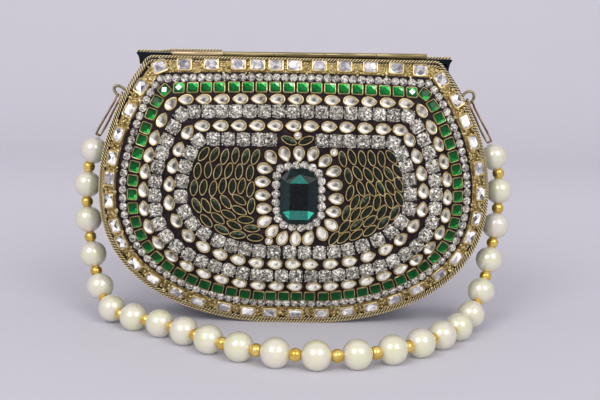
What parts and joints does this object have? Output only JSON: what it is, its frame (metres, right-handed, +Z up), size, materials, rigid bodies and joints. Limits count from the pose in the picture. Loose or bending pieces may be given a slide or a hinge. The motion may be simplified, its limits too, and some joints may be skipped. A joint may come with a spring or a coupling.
{
  "type": "clutch bag",
  "caption": "Stiff metal clutch bag, D-shaped with a flat top, set all over with stones on its front, with a hinged lid and a beaded hand strand on two hooks.",
  "frame": {"origin": "middle of the small flat at the bottom of the side band, on which the bag stands", "axes": "+X along the bag's width, to the right seen from the front; the front faces -Y; +Z up"},
  "size_m": [0.2131, 0.1211, 0.1283],
  "materials": {
    "resin_ground": "dark resin ground",
    "dark_enamel": "satin dark enamel",
    "antique_gold": "antique gold plate",
    "brass": "polished",
    "bead_gold": "bright gold plate",
    "steel": "satin",
    "lining_cloth": "satin cloth",
    "clear_crystal": "faceted, foil backed, in gold settings",
    "green_glass": "faceted, foil backed, in gold settings",
    "dark_leaf": "dark leaf-shaped stones in gold rims",
    "teal_stone": "step cut, foil backed",
    "pearl_white": "pearl"
  },
  "bodies": {
    "bag": {"front_panel": "resin_ground", "back_panel": "resin_ground", "side_band": "dark_enamel", "lining": "lining_cloth", "front_rope_edging": "antique_gold", "back_rope_edging": "antique_gold", "hinge_body_leaf": "brass", "hinge_pin": "steel", "catch_keeper": "steel", "left_strap_eye": "brass", "right_strap_eye": "brass", "border_crystal_row": "clear_crystal", "small_rhinestone_row": "clear_crystal", "green_stone_row": "green_glass", "outer_teardrop_row": "clear_crystal", "outer_rhinestone_row": "clear_crystal", "inner_teardrop_row": "clear_crystal", "inner_rhinestone_row": "clear_crystal", "left_leaf_field": "dark_leaf", "right_leaf_field": "dark_leaf", "centre_halo": "clear_crystal", "centre_chain": "clear_crystal", "centre_seat": "antique_gold", "centre_stone": "teal_stone"},
    "lid": {"lid_plate": "dark_enamel", "lid_wire": "antique_gold", "hinge_lid_leaf": "brass", "catch_magnet": "steel", "lift_tab": "brass"},
    "strand": {"left_hook": "brass", "right_hook": "brass", "strand_cord_with_gold_spacers": "bead_gold", "pearl_01": "pearl_white", "pearl_02": "pearl_white", "pearl_03": "pearl_white", "pearl_04": "pearl_white", "pearl_05": "pearl_white", "pearl_06": "pearl_white", "pearl_07": "pearl_white", "pearl_08": "pearl_white", "pearl_09": "pearl_white", "pearl_10": "pearl_white", "pearl_11": "pearl_white", "pearl_12": "pearl_white", "pearl_13": "pearl_white", "pearl_14": "pearl_white", "pearl_15": "pearl_white", "pearl_16": "pearl_white", "pearl_17": "pearl_white", "pearl_18": "pearl_white", "pearl_19": "pearl_white", "pearl_20": "pearl_white", "pearl_21": "pearl_white", "pearl_22": "pearl_white", "pearl_23": "pearl_white", "pearl_24": "pearl_white"}
  },
  "joints": [
    {"name": "lid_hinge", "type": "hinge", "parent": "bag", "child": "lid", "pos_m": [0, -0.01725, 0.1272], "axis": [1, 0, 0], "range_deg": [0, 105]},
    {"name": "strand_swing", "type": "hinge", "parent": "bag", "child": "strand", "pos_m": [0, 0, 0.10563], "axis": [-1, 0, 0], "range_deg": [0, 180]}
  ]
}
